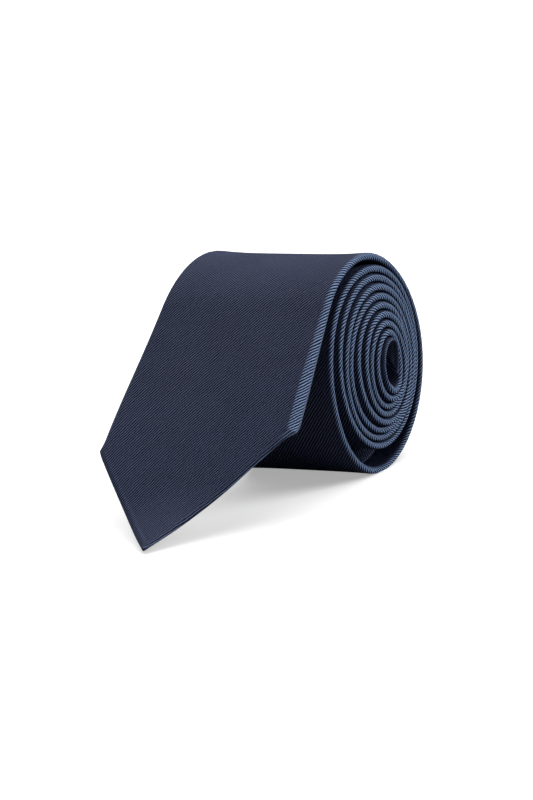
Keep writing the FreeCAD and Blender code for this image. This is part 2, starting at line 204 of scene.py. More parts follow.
def width_at(distance):
    """Finished width of the tie at distances from the blade's point."""
    from_tail = LENGTH - distance
    body = np.maximum(BLADE_WIDTH - TAPER * (distance - BLADE_POINT), NECK_WIDTH)
    body = body + smooth(1 - (from_tail - TAIL_POINT) / TAIL_FLARE) * (TAIL_WIDTH - NECK_WIDTH)
    body = np.where(distance < SHOULDER, BLADE_WIDTH * (distance - SHORT) / (SHOULDER - SHORT), body)
    return np.where(from_tail < TAIL_POINT, TAIL_WIDTH * from_tail / TAIL_POINT, body)


def wander(turn):
    """How far a turn's folded edges sit off line along the roll."""
    share = smooth((turn - 0.7) / 0.6)
    return share * (0.45 * np.sin(4.4 * turn + 0.6) + 0.3 * np.sin(11.0 * turn + 2.0))


def unit(vectors):
    return vectors / np.linalg.norm(vectors, axis=-1, keepdims=True)


def stack(x, y, z):
    return np.stack(np.broadcast_arrays(x, y, z), axis=-1).astype(float)


def blade_axes(distance):
    """Centre, sideways and outward directions on the hanging blade."""
    below = HANG - distance
    share = below / HANG
    y, z, slope = blade_centre(below)
    drift = IN_PLANE_TURN * below * share * share / 3
    centre = stack(FLUSH_X - width_at(np.array(HANG)) / 2 + drift, y, z)
    down = stack(0.0, -np.cos(slope), -np.sin(slope))
    heading = IN_PLANE_TURN * share * share
    across = stack(np.cos(heading), 0.0, 0.0) - down * np.sin(heading)[:, None]
    across = unit(across + (share * share)[:, None] * np.array([0.0, TWIST_BACK, TWIST_UP]))
    along = down - across * np.sum(down * across, axis=1)[:, None]
    return centre, across, unit(np.cross(along, across))


def roll_axes(distance):
    """Centre, sideways and outward directions on the roll."""
    turn = turn_at(distance)
    step = 0.5 / TABLE_STEPS_PER_TURN
    y, z = roll_centre(turn)
    y_before, z_before = roll_centre(turn - step)
    y_after, z_after = roll_centre(turn + step)
    along = unit(stack(0.0, y_after - y_before, z_after - z_before))
    stand_out = STEP_OUT * np.maximum(turn - FIRST_STEP_OUT, 0.0) + wander(turn)
    centre = stack(FLUSH_X + stand_out - width_at(distance) / 2, y, z)
    across = stack(np.ones_like(turn), 0.0, 0.0)
    return centre, across, stack(0.0, -along[:, 2], along[:, 1])


def axes_at(distance):
    """Centre, sideways and outward directions anywhere on the tie."""
    on_blade = (distance < HANG)[:, None]
    blade = blade_axes(np.minimum(distance, HANG))
    roll = roll_axes(np.maximum(distance, HANG))
    return [np.where(on_blade, a, b) for a, b in zip(blade, roll)]


TOP_TILT = 1.3             # how much higher the cloth lies at the left end of the roll's top
TOP_TILT_REACH = 26.0
LEFT_FLARE = 1.3           # how much wider the blade is on its left, near the shoulder
LEFT_FLARE_AT = 68.0
LEFT_FLARE_REACH = 26.0
TIP_SHIFT = 0.9            # how far the point leans to the left


def place(distance, across, out):
    """Points in metres, none under the floor, from distances (N) and across and out values (N, K)."""
    centre, sideways, normal = axes_at(distance)
    share = across / np.maximum(width_at(distance), 1.0)[:, None]
    flare = LEFT_FLARE * np.exp(-((distance - LEFT_FLARE_AT) / LEFT_FLARE_REACH) ** 2)
    across = across - flare[:, None] * np.maximum(-2 * share, 0.0)
    across = across - TIP_SHIFT * smooth(1 - distance / SHOULDER)[:, None]
    points = centre[:, None] + across[..., None] * sideways[:, None] + out[..., None] * normal[:, None]
    tilt = TOP_TILT * np.exp(-((distance - HANG) / TOP_TILT_REACH) ** 2)
    points[..., 2] += tilt[:, None] * (0.5 - share)
    points[..., 2] = np.maximum(points[..., 2], 0.0)
    return points * MM


# --- the silk's cross-section --------------------------------------------------------------

SHOULDER_DEPTH = 5.8       # thickness at the blade's shoulders, where the folds stand open
OUTER_DEPTH = 2.85         # thickness at the folds of the outer turn
INNER_DEPTH = 2.95         # the same further in
INNER_DEPTH_SWING = 0.25   # how much more of it there is where the turns lie looser
POINT_DEPTH = 1.4          # thickness at the pressed edges of the points
MITRE = 9.0                # length of the slanting end of the open fold
MITRE_PAST = 4.0           # how much of it lies past the shoulder, along the point's edge
MITRE_LEAD = 2.0           # how much nearer the point the fold's radius opens than its thickness
SEAM_HALF_GAP = 0.25
LIP = 0.42
FOLD_RADIUS = 1.55
OPEN_FOLD_RADIUS = 3.0     # the same at the blade's shoulders
SEAM_RISE = 0.3            # extra thickness at a piecing seam
SEAM_RISE_REACH = 1.1
MIDDLE_FRONT = 1.3         # half thickness in the middle of the tie
TOP_SAG = 0.55             # how far the middle sinks where the blade leaves the roll
SAG_REACH = 26.0


def inner_share(distance):
    """0 on the outer turn, 1 on the turns inside it."""
    return smooth((turn_at(distance) - 0.7) / 0.3)


def roll_depth(distance):
    """Thickness at the folds on the roll: the turns fill the room they have."""
    inner = INNER_DEPTH - INNER_DEPTH_SWING * np.cos(2 * math.pi * (turn_at(distance) - 0.4))
    return OUTER_DEPTH + (inner - OUTER_DEPTH) * inner_share(distance)


def opening(distance):
    """0 on the roll, 1 at the blade's shoulders, where the folds stand open."""
    return smooth(1 - (distance - SHOULDER - MITRE) / (HANG - SHOULDER - MITRE))


def fold_radius(distance):
    """How far in from the edge a fold starts to turn."""
    mitre = smooth((distance - SHOULDER + MITRE_PAST + MITRE_LEAD) / MITRE)
    return FOLD_RADIUS + (OPEN_FOLD_RADIUS - FOLD_RADIUS) * opening(distance) * mitre


def seam_rise(distance):
    """Extra thickness where two panels are joined."""
    neck = (distance - distance_at(NECK_SEAM_TURN)) / SEAM_RISE_REACH
    tail = (distance - distance_at(TAIL_SEAM_TURN)) / SEAM_RISE_REACH
    return SEAM_RISE * (np.exp(-neck ** 2) + np.exp(-tail ** 2))


def fold_depth(distance):
    """Thickness of the tie at its folded edges."""
    depth = roll_depth(distance) + (SHOULDER_DEPTH - OUTER_DEPTH) * opening(distance)
    mitre = np.clip((distance - SHOULDER + MITRE_PAST) / MITRE, 0.0, 1.0)
    depth = POINT_DEPTH + (depth - POINT_DEPTH) * np.sin(mitre * math.pi / 2) ** 1.3
    tail = smooth((LENGTH - distance - TAIL_POINT) / 6.0)
    return POINT_DEPTH + (depth - POINT_DEPTH) * tail


def on_point(distance):
    """1 on the pointed ends, 0 on the body of the tie."""
    return np.maximum(smooth(1.1 - distance / SHOULDER), smooth(1.1 - (LENGTH - distance) / TAIL_POINT))


def front_middle(distance):
    return MIDDLE_FRONT - TOP_SAG * np.exp(-((distance - HANG) / SAG_REACH) ** 2) + seam_rise(distance)


def front_edge(distance):
    outer = MIDDLE_FRONT + 0.3 * smooth((distance - HANG + 40.0) / 60.0)
    return outer + (roll_depth(distance) / 2 - outer) * inner_share(distance) + seam_rise(distance)


def back_middle(distance):
    return 0.35 * on_point(distance) - MIDDLE_FRONT


def front_out(distance, share):
    """How far out the front lies, at shares of the way from the middle to the fold."""
    return front_middle(distance) + (front_edge(distance) - front_middle(distance)) * np.abs(share) ** 4


def back_out(distance, share):
    """The same for the back."""
    edge = front_edge(distance) - fold_depth(distance)
    return back_middle(distance) + (edge - back_middle(distance)) * np.abs(share) ** 3


POINT_HEM_LIMIT = 0.75     # share of the half width that a point's hem may take


def flap_reach(distance):
    """Width of the flaps folded to the back: hems at the points, closed along the body."""
    half = width_at(distance) / 2
    closed = half - SEAM_HALF_GAP
    from_tail = LENGTH - distance
    blade = np.clip((distance - SHOULDER) / (BLADE_TACK - SHOULDER), 0.0, 1.0)
    tail = smooth((from_tail - TAIL_POINT) / (TAIL_TACK - TAIL_POINT))
    reach = HEM + (closed - HEM) * blade * tail
    pointed = (distance < SHOULDER) | (from_tail < TAIL_POINT)
    return np.minimum(reach, np.where(pointed, half * POINT_HEM_LIMIT, closed))


FRONT_STEPS = 1 - (1 - np.linspace(0.0, 1.0, 18)) ** 1.7
FOLD_STEPS = np.linspace(math.pi / 2, -math.pi / 2, 17)[1:-1]
BACK_STEPS = 1 - np.linspace(0.0, 1.0, 13) ** 1.4
LIP_STEPS = np.linspace(0.0, math.pi / 2, 4)[1:]
ROLL_FULLNESS = 0.95       # below 1, a fold is fuller than a half ellipse; above 1, it is flatter
OPEN_FRONT_FULLNESS = 1.6  # the same for the front half where the folds stand open
OPEN_BACK_FULLNESS = 0.7   # and for the back half
POINT_EDGE_TILT = 0.79     # turns a distance across into a distance from the point's edge
HEM_RIDGE_START = 6.0      # the hem's ridge fades in over this length at the very point


def power(values, exponent):
    return np.sign(values) * np.abs(values) ** exponent


def hem_ridge(edge_distance, amount):
    """Height of the line that the folded hem presses into the front, by distance from the edge."""
    ridge = np.exp(-((edge_distance - 1.7) / 0.45) ** 2) - np.exp(-((edge_distance - 2.8) / 0.5) ** 2)
    return 0.12 * amount * ridge


def half_section(distance, inset):
    """Right half of the silk from the middle of the front to the flap's edge, set in by inset."""
    d = distance[:, None]
    half = width_at(d) / 2
    radius = np.minimum(fold_radius(d), half * 0.6)
    flat = half - radius
    depth = fold_depth(d)
    open_fullness = np.where(FOLD_STEPS > 0, OPEN_FRONT_FULLNESS, OPEN_BACK_FULLNESS)
    fullness = ROLL_FULLNESS + (open_fullness - ROLL_FULLNESS) * opening(d)
    hemmed = (d < SHOULDER) * smooth((d - SHORT) / HEM_RIDGE_START)
    ridge = hem_ridge((half - flat * FRONT_STEPS) * POINT_EDGE_TILT, hemmed)
    across = [flat * FRONT_STEPS]
    out = [front_out(d, FRONT_STEPS) + ridge - inset]
    across.append(flat + (radius - inset * np.minimum(1.0, radius)) * power(np.cos(FOLD_STEPS), fullness))
    out.append(front_edge(d) - depth / 2 + (depth / 2 - inset) * power(np.sin(FOLD_STEPS), fullness))
    edge = np.minimum(np.maximum(half - flap_reach(d), 0.0), flat - LIP)
    lip_start = edge + LIP
    back_across = lip_start + (flat - lip_start) * BACK_STEPS
    back = back_out(d, back_across / np.maximum(flat, 0.01)) + inset
    across.append(back_across)
    out.append(back)
    across.append(lip_start - LIP * np.sin(LIP_STEPS))
    lip_sink = LIP * (1 - np.cos(LIP_STEPS)) if inset == 0 else 0 * LIP_STEPS
    out.append(back[:, -1:] + lip_sink)
    return np.concatenate(across, axis=1), np.concatenate(out, axis=1)


def mirrored(across, out):
    """A full path from a right half: left flap edge, front, right flap edge."""
    full_across = np.concatenate([-across[:, :0:-1], across], axis=1)
    full_out = np.concatenate([out[:, :0:-1], out], axis=1)
    return full_across, full_out


def unrolled(across, out):
    """Distance along the cloth from the middle of the front, in centimetres."""
    steps = np.hypot(np.diff(across, axis=1), np.diff(out, axis=1))
    along = np.concatenate([np.zeros((len(across), 1)), np.cumsum(steps, axis=1)], axis=1)
    middle = across.shape[1] // 2
    return (along - along[:, middle:middle + 1]) / 10


def seam_shift(distance):
    """The weave doesn't match across a piecing seam."""
    shift = 0.4 * smooth((distance - distance_at(NECK_SEAM_TURN)) / 0.6)
    return shift + 0.3 * smooth((distance - distance_at(TAIL_SEAM_TURN)) / 0.6)


# --- meshes --------------------------------------------------------------------------------

def grid_normals(points):
    """Unit normals of a grid of points (N, M, 3) that closes round its second direction."""
    down = np.gradient(points, axis=0)
    round_ = np.roll(points, -1, axis=1) - np.roll(points, 1, axis=1)
    return unit(np.cross(down, round_) + 1e-15)


def closed_mesh(name, points, normals, uv, shades):
    """A closed strip: a loop of points carried along, with flat ends.  The loop's second half
    is the first half's inner side, so that the ends are a row of narrow faces.  Each of the
    shades is kept as one value for each point."""
    rows, count = points.shape[:2]
    index = np.arange(rows * count).reshape(rows, count)
    following = np.roll(index, -1, axis=1)
    quads = np.stack([index[:-1], following[:-1], following[1:], index[1:]], axis=-1).reshape(-1, 4)
    pairs = np.arange(count // 2 - 1)
    caps = []
    for row, turn in ((0, 1), (rows - 1, -1)):
        around = (pairs, pairs + 1, count - 2 - pairs, count - 1 - pairs)
        cap_corners = [index[row, step] for step in around]
        caps.append(np.stack(cap_corners[::-turn], axis=-1))
    faces = np.concatenate([quads] + caps)
    mesh = bpy.data.meshes.new(name)
    mesh.from_pydata(points.reshape(-1, 3).tolist(), [], faces.tolist())
    corner_vertex = faces.reshape(-1)
    uv_layer = mesh.uv_layers.new(name="cloth")
    uv_layer.data.foreach_set("uv", uv.reshape(-1, 2)[corner_vertex].astype(np.float32).ravel())
    for shade, values in shades.items():
        attribute = mesh.attributes.new(shade, "FLOAT", "POINT")
        attribute.data.foreach_set("value", values.reshape(-1).astype(np.float32))
    mesh.polygons.foreach_set("use_smooth", np.ones(len(faces), bool))
    corner_normals = normals.reshape(-1, 3)[corner_vertex]
    flat_points = points.reshape(-1, 3)
    for cap, start in zip(caps, (len(quads), len(quads) + len(caps[0]))):
        a, b, c = (flat_points[cap[:, i]] for i in (0, 1, 2))
        facing = np.cross(b - a, c - b).sum(axis=0)
        corner_normals[start * 4:(start + len(cap)) * 4] = unit(facing)
    mesh.normals_split_custom_set(corner_normals.tolist())
    piece = bpy.data.objects.new(name, mesh)
    bpy.context.scene.collection.objects.link(piece)
    return piece


LEFT_GLINT = 0.35          # how much of the painted glint the left folds get, for 1 on the right
POINT_DULL = 0.8           # how much of the painted glint the pressed points lose
BACK_SHADE_LEAST = 0.15    # painted shade on the back of the cloth, outside the outer turn
SHADE_REACH = 30.0         # how far past the roll's top the outer turn's painted shade takes to come in
CREVICE_FROM = 0.9         # share of the half width where the folds' flanks, and the painted shade between the turns, begin


def cloth_shades(distance, across, turned, behind):
    """Painted light and shade for the silk, kept on the mesh for its material: a glint on the folds, a
    sheen on the open folds' back edge, and shade on the cloth's back and between the turns.  turned and
    behind say how much a point faces the tie's right side and its back."""
    # painted highlight: a glint where the cloth turns to the side, strongest on the right
    fold = smooth((turned - 0.15) / 0.6) + LEFT_GLINT * smooth((-turned - 0.15) / 0.6)
    fold = fold * (1 - POINT_DULL * on_point(distance))[:, None]
    # painted sheen: a plain, lighter strip where the open folds turn to the right and back
    rim_sheen = smooth(turned / 0.5) * smooth((behind + 0.2) / 0.35) * opening(distance)[:, None]
    # painted shade in the narrow gaps between the turns of the roll, on the folds' flanks
    near_fold = smooth((np.abs(across) / (width_at(distance) / 2)[:, None] - CREVICE_FROM) / 0.06)
    between_turns = inner_share(distance) * smooth((CORE_CURL_TURN - 0.5 - turn_at(distance)) / 0.3)
    crevice_shade = near_fold * smooth((np.abs(behind) - 0.5) / 0.4) * between_turns[:, None]
    # painted shade on the cloth's back: full on the outer turn within the roll, weaker elsewhere
    outer_turn = smooth((distance - HANG) / SHADE_REACH) * (1 - inner_share(distance))
    shade = BACK_SHADE_LEAST + (1 - BACK_SHADE_LEAST) * outer_turn
    # back carries all the painted shade: on the cloth's back and between the turns
    back = np.maximum(smooth(behind) * shade[:, None], crevice_shade)
    return {"fold": fold, "back": back, "rim_sheen": rim_sheen}


def ribbon(distance, outer, inner):
    """Points, normals, cloth coordinates and shades of a strip with an outer and an inner path."""
    outer_across, outer_out = outer
    inner_across, inner_out = inner
    across = np.concatenate([outer_across, inner_across[:, ::-1]], axis=1)
    out = np.concatenate([outer_out, inner_out[:, ::-1]], axis=1)
    points = place(distance, across, out)
    normals = grid_normals(points)
    middle = outer_across.shape[1] // 2
    _, sideways, tie_normal = axes_at(distance)
    if np.sum(normals[:, middle] * tie_normal) < 0:
        normals = -normals
    u = unrolled(outer_across, outer_out)
    u = np.concatenate([u, u[:, ::-1]], axis=1)
    v = np.broadcast_to((distance / 10 + seam_shift(distance))[:, None], u.shape)
    turned = np.sum(normals * sideways[:, None], axis=-1)
    behind = -np.sum(normals * tie_normal[:, None], axis=-1)
    shades = cloth_shades(distance, across, turned, behind)
    return points, normals, np.stack([u, v], axis=-1), shades


# --- where the tie is divided, and the joint and hinge named for each stretch ---------------

LIFT_AT = HANG - LIFT_FORWARD
PEEL_AT = distance_at(PEEL_TURN)
MID_BLADE = (BLADE_POINT + LIFT_AT) / 2
MID_OUTER = (LIFT_AT + PEEL_AT) / 2
UNDER_AT = distance_at(0.46)
SLIDE_FROM = distance_at(6.5)
SLIDE_TO = distance_at(7.0)
END_GAP = 0.5
TIP_START = SHORT + END_GAP
CUTS = [
    ("point", TIP_START, MID_BLADE), ("blade", MID_BLADE, MID_OUTER), ("outer_turn", MID_OUTER, UNDER_AT),
    ("coil", UNDER_AT, SLIDE_FROM), ("slide", SLIDE_FROM, SLIDE_TO), ("core", SLIDE_TO, LENGTH - END_GAP)]
BEND_REACH = {"blade_point_curl": 15.0, "blade_lift": 17.0, "outer_turn_peel": 14.0}
STRETCH_JOINT = {
    "point": "blade_point_curl",
    "blade": "blade_lift",
    "outer_turn": "outer_turn_peel",
    "slide": "core_push",
}
HINGE_AT = {"point": BLADE_POINT, "blade": LIFT_AT, "outer_turn": PEEL_AT}


def hinge_zone(name, distance):
    """Two points round a hinge, one on each side of it along the tie, the second towards the blade's point.
    """
    joint = JOINTS[name]
    _, sideways, normal = axes_at(np.array([distance]))
    towards_point = np.cross(sideways[0], normal[0])
    reach = Vector(towards_point) * BEND_REACH[name] * MM
    origin = Vector(joint["pos_m"])
    return origin - reach, origin + reach


def slide_zone():
    """Points over the origin at the heights of the two ends of the half turn between the coil and the core,
    each 4 mm nearer the other.
    """
    low = Vector(axes_at(np.array([SLIDE_FROM]))[0][0] * MM)
    high = Vector(axes_at(np.array([SLIDE_TO]))[0][0] * MM)
    margin = Vector((0, 0, 4 * MM))
    return Vector((0, 0, low.z)) + margin, Vector((0, 0, high.z)) - margin


def follow(piece, stretch):
    """Attaches a piece of the coil or the core to its body; a piece of any other stretch keeps its place,
    baked into its points, and the hinge or slide zone worked out for it is not used.
    """
    if stretch in ("coil", "core"):
        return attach(piece, stretch)
    name = STRETCH_JOINT[stretch]
    if stretch == "slide":
        start, end = slide_zone()
    else:
        start, end = hinge_zone(name, HINGE_AT[stretch])
    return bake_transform(piece)


def spaced(start, end):
    """Distances from start to end, closer together where the tie bends or ends."""
    steps = []
    here = start
    while here < end - 1e-6:
        steps.append(here)
        near_end = min(here, LENGTH - here)
        size = 1.4
        if near_end < 6.0:
            size = 0.5
        if SHOULDER - MITRE_PAST - 2.0 < here < SHOULDER + MITRE:
            size = 0.6
        if here > HANG:
            turn = float(turn_at(here))
            size = (distance_at(min(turn + 1 / 56, TURNS)) - here) if turn < TURNS - 0.05 else 1.0
            size = max(size, 0.5)
        here += size
    steps.append(end)
    if len(steps) > 2 and steps[-1] - steps[-2] < 0.2:
        steps.pop(-2)
    return np.array(steps)


def with_marks(steps, marks):
    """Adds exact places to a list of distances."""
    return np.unique(np.concatenate([steps, [m for m in marks if steps[0] < m < steps[-1]]]))


def make_strip(stem, start, end, section, material, stood_for):
    """One strip of the tie, divided into its stretches.  section gives the outer and inner paths."""
    marks = [cut for _, cut, _ in CUTS] + [SHOULDER, LENGTH - TAIL_POINT, BLADE_TACK]
    distance = with_marks(spaced(start, end), marks)
    outer, inner = section(distance)
    points, normals, uv, shades = ribbon(distance, outer, inner)
    made = []
    for stretch, low, high in CUTS:
        rows = np.nonzero((distance >= low - 1e-6) & (distance <= high + 1e-6))[0]
        if len(rows) < 2:
            continue
        part = slice(rows[0], rows[-1] + 1)
        part_shades = {shade: values[part] for shade, values in shades.items()}
        piece = closed_mesh(stem + "_" + stretch, points[part], normals[part], uv[part], part_shades)
        piece.data.materials.append(material)
        follow(piece, stretch)
        nodes = stood_for.get(stretch, ())
        if nodes:
            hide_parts(*nodes)
        made.append(piece)
    return made


# --- materials ---------------------------------------------------------------------------

class Graph:
    """A small helper that builds a material's nodes."""

    def __init__(self, name):
        self.material = bpy.data.materials.new(name)
        self.material.use_nodes = True
        self.tree = self.material.node_tree
        self.tree.nodes.clear()
        self.shader = self.tree.nodes.new("ShaderNodeBsdfPrincipled")
        self.output = self.tree.nodes.new("ShaderNodeOutputMaterial")
        self.link(self.shader.outputs[0], self.output.inputs[0])

    def link(self, source, target):
        self.tree.links.new(source, target)

    def put(self, socket, value):
        if isinstance(value, bpy.types.NodeSocket):
            self.link(value, socket)
        else:
            socket.default_value = value

    def node(self, kind, settings=None, **inputs):
        made = self.tree.nodes.new(kind)
        for key, value in (settings or {}).items():
            setattr(made, key, value)
        for key, value in inputs.items():
            self.put(made.inputs[key.replace("_", " ")], value)
        return made

    def math(self, operation, a, b=0.0, c=0.0):
        made = self.tree.nodes.new("ShaderNodeMath")
        made.operation = operation
        for socket, value in zip(made.inputs, (a, b, c)):
            self.put(socket, value)
        return made.outputs[0]

    def wave(self, phase):
        """A value between 0 and 1 that repeats with each whole number of phase."""
        turned = self.math("SINE", self.math("MULTIPLY", phase, 2 * math.pi))
        return self.math("MULTIPLY_ADD", turned, 0.5, 0.5)

    def uv(self):
        source = self.node("ShaderNodeUVMap", {"uv_map": "cloth"})
        split = self.node("ShaderNodeSeparateXYZ", Vector=source.outputs[0])
        return source.outputs[0], split.outputs[0], split.outputs[1]

    def shade(self, name):
        """One of the shades kept on the mesh; 0 on a mesh without it."""
        return self.node("ShaderNodeAttribute", {"attribute_name": name}).outputs[2]

    def noise(self, vector, scale, detail=2.0, roughness=0.5):
        made = self.node(
            "ShaderNodeTexNoise", Vector=vector, Scale=scale, Detail=detail, Roughness=roughness)
        return made.outputs[0]

    def mix(self, factor, low, high):
        made = self.tree.nodes.new("ShaderNodeMix")
        made.data_type = "RGBA"
        self.put(made.inputs[0], factor)
        self.put(made.inputs[6], low)
        self.put(made.inputs[7], high)
        return made.outputs[2]

    def bump(self, height, distance, strength=1.0):
        made = self.node("ShaderNodeBump", Height=height, Distance=distance, Strength=strength)
        return made.outputs[0]

    def finish(self, **inputs):
        for key, value in inputs.items():
            self.put(self.shader.inputs[key.replace("_", " ")], value)
        return self.material


WALES_ACROSS = 7.5         # ribs of the twill for each centimetre across the tie
WALES_ALONG = 6.1          # and for each centimetre along it
YARNS = 33.0               # yarn floats for each centimetre along a rib
RIB_SHARPNESS = 1.7        # above 1, the grooves are wider than the ribs
FOLD_SHARPNESS = 0.9       # how much sharper the ribs stand where the glint is painted on the folds
FOLD_GLINT = 0.9           # how far the ribs turn to the painted glint colour on the folds
# painted sheen: how far, and to which colour, the back edge of the open folds turns plain and lighter
RIM_SHEEN_STRENGTH = 0.75
RIM_SHEEN_COLOUR = (0.095, 0.125, 0.205, 1)
# how far the painted shade turns the colour to the groove colour
SHADE_STRENGTH = 0.72


def twill(name, groove, ridge, glint):
    """Navy silk twill: slanting ribs, each a row of fine floats, with a soft sheen; on top, a painted glint
    on the folds, a painted lighter strip on the open folds' back edge and painted shade.
    """
    g = Graph(name)
    vector, u, v = g.uv()
    waver = g.math("MULTIPLY", g.math("SUBTRACT", g.noise(vector, 2.2), 0.5), 0.9)
    phase = g.math("SUBTRACT", g.math("MULTIPLY", u, WALES_ACROSS), g.math("MULTIPLY", v, WALES_ALONG))
    phase = g.math("ADD", phase, waver)
    floats = g.math("ADD", g.math("MULTIPLY", v, YARNS * 0.75), g.math("MULTIPLY", u, YARNS * 0.66))
    yarn = g.wave(g.math("ADD", floats, g.noise(vector, 9.0)))
    # fold: where the glint is painted on the folds; the ribs also stand sharper there
    fold = g.shade("fold")
    rib = g.math("POWER", g.wave(phase), g.math("MULTIPLY_ADD", fold, FOLD_SHARPNESS, RIB_SHARPNESS))
    tone = g.math("MULTIPLY", rib, 0.95)
    tone = g.math("ADD", tone, g.math("MULTIPLY", g.math("SUBTRACT", yarn, 0.5), 0.14))
    patchy = g.math("MULTIPLY", g.math("SUBTRACT", g.noise(vector, 0.55, 3.0), 0.5), 0.16)
    tone = g.math("ADD", tone, patchy)
    colour = g.mix(tone, groove, ridge)
    # painted highlight: the ribs on the folds turn to the glint colour
    colour = g.mix(g.math("MULTIPLY", g.math("MULTIPLY", rib, fold), FOLD_GLINT), colour, glint)
    # painted sheen: the back edge of the open folds turns plain and lighter
    colour = g.mix(g.math("MULTIPLY", g.shade("rim_sheen"), RIM_SHEEN_STRENGTH), colour, RIM_SHEEN_COLOUR)
    # painted shade: the cloth's back inside the roll and the gaps between the turns go to the groove colour
    back = g.shade("back")
    colour = g.mix(g.math("MULTIPLY", back, SHADE_STRENGTH), colour, groove)
    height = g.math("ADD", rib, g.math("MULTIPLY", yarn, 0.18))
    rough = g.math("MULTIPLY_ADD", rib, -0.1, 0.55)
    lustre = g.math("MULTIPLY_ADD", rib, 0.22, 0.03)
    # the shine drops where the shade is painted
    shine = g.math("MULTIPLY", lustre, g.math("MULTIPLY_ADD", back, -0.8, 1.0))
    return g.finish(
        Base_Color=colour, Roughness=rough, Specular_IOR_Level=shine, Anisotropic=0.3,
        Normal=g.bump(height, 0.00016, 0.8))


def wool_cloth(name):
    """Brushed woollen interlining: soft, uneven and matt."""
    g = Graph(name)
    vector, u, v = g.uv()
    weave = g.math("MULTIPLY", g.wave(g.math("MULTIPLY", u, 14.0)), g.wave(g.math("MULTIPLY", v, 14.0)))
    nap = g.noise(vector, 26.0, 5.0, 0.7)
    tone = g.math("MULTIPLY_ADD", nap, 0.7, g.math("MULTIPLY", weave, 0.3))
    colour = g.mix(tone, (0.30, 0.28, 0.25, 1), (0.62, 0.60, 0.55, 1))
    return g.finish(Base_Color=colour, Roughness=0.95, Sheen_Weight=0.5, Normal=g.bump(tone, 0.0004))


def thread_cord(name, dark, light):
    """Two-ply sewing thread: the plies wind round, with a little lustre."""
    g = Graph(name)
    vector, u, v = g.uv()
    ply = g.wave(g.math("ADD", g.math("MULTIPLY", u, 2.0), g.math("MULTIPLY", v, 14.0)))
    fibre = g.noise(vector, 60.0, 3.0)
    colour = g.mix(g.math("MULTIPLY_ADD", fibre, 0.4, g.math("MULTIPLY", ply, 0.6)), dark, light)
    return g.finish(Base_Color=colour, Roughness=0.5, Sheen_Weight=0.3, Normal=g.bump(ply, 0.00008))


def woven_label(name, dark, light, picks, lustre):
    """Finely woven label cloth: close cross threads with a little unevenness."""
    g = Graph(name)
    vector, u, v = g.uv()
    weft = g.wave(g.math("MULTIPLY", v, picks))
    warp = g.wave(g.math("MULTIPLY", u, picks * 1.3))
    tone = g.math("MULTIPLY_ADD", weft, 0.5, g.math("MULTIPLY", warp, 0.2))
    tone = g.math("ADD", tone, g.math("MULTIPLY", g.noise(vector, 6.0, 3.0), 0.3))
    colour = g.mix(tone, dark, light)
    return g.finish(
        Base_Color=colour, Roughness=lustre, Sheen_Weight=0.3, Anisotropic=0.4,
        Normal=g.bump(tone, 0.00006))


# the third colour of each twill is its painted glint on the folds
SILK_CLOTH = twill(
    "navy_twill", (0.0005, 0.001, 0.005, 1), (0.094, 0.117, 0.228, 1), (0.29, 0.43, 0.72, 1))
TIPPING_CLOTH = twill(
    "tipping_twill", (0.0015, 0.002, 0.005, 1), (0.05, 0.06, 0.13, 1), (0.10, 0.14, 0.26, 1))
WOOL = wool_cloth("wool_interlining")
NAVY_THREAD = thread_cord("navy_thread", (0.006, 0.009, 0.022, 1), (0.05, 0.065, 0.12, 1))
LABEL_SATIN = woven_label("label_satin", (0.008, 0.011, 0.025, 1), (0.05, 0.06, 0.10, 1), 40.0, 0.35)
CARE_TAPE = woven_label("care_tape", (0.42, 0.42, 0.40, 1), (0.75, 0.75, 0.72, 1), 26.0, 0.6)


# --- silk, interlining and tipping -----------------------------------------------------------

def silk_section(distance):
    return mirrored(*half_section(distance, 0.0)), mirrored(*half_section(distance, SILK))


def slab(distance, margin, high, low):
    """A flat strip with rounded sides, kept margin inside the folds.  high and low are functions."""
    d = distance[:, None]
    half = np.maximum(width_at(d) / 2 - margin, 0.3)
    steps = np.linspace(-1.0, 1.0, 25)
    rounding = np.clip((1 - np.abs(steps)) * half / 0.5, 0.0, 1.0)
    middle = (high(d, steps) + low(d, steps)) / 2
    swell = (high(d, steps) - low(d, steps)) / 2 * (0.15 + 0.85 * np.sqrt(1 - (1 - rounding) ** 2))
    return (half * steps, middle + swell), (half * steps, middle - swell)


WOOL_CLEAR = 0.08
LINING_ROOM = 0.42
LINING = 0.26


def wool_section(distance):
    return slab(distance, 1.9, lambda d, share: front_out(d, share) - SILK - WOOL_CLEAR,
                lambda d, share: back_out(d, share) + SILK + LINING_ROOM)


def tipping_section(distance):
    return slab(distance, 1.7, lambda d, share: back_out(d, share) + SILK + WOOL_CLEAR + LINING,
                lambda d, share: back_out(d, share) + SILK + WOOL_CLEAR)


def make_cloth():
    make_strip("silk", TIP_START, LENGTH - END_GAP, silk_section, SILK_CLOTH, {
        "point": ("blade_panel_point",), "blade": ("blade_panel_hanging",),
        "outer_turn": ("blade_panel_outer_turn",), "coil": ("blade_panel_rolled",),
        "slide": ("neck_panel",), "core": ("tail_panel",)})
    make_strip("interlining", 6.0, LENGTH - 6.0, wool_section, WOOL, {
        "point": ("interlining_point",), "blade": ("interlining_hanging",),
        "outer_turn": ("interlining_outer_turn",), "coil": ("interlining_rolled",),
        "core": ("interlining_tail",)})
    make_strip("tipping_blade", 5.0, BLADE_TACK + HEM, tipping_section, TIPPING_CLOTH, {
        "point": ("blade_tipping_point",), "blade": ("blade_tipping_upper",)})
    make_strip("tipping_tail", LENGTH - TAIL_TACK - HEM, LENGTH - 5.0, tipping_section, TIPPING_CLOTH,
               {"core": ("tail_tipping",)})


# --- threads -----------------------------------------------------------------------------------

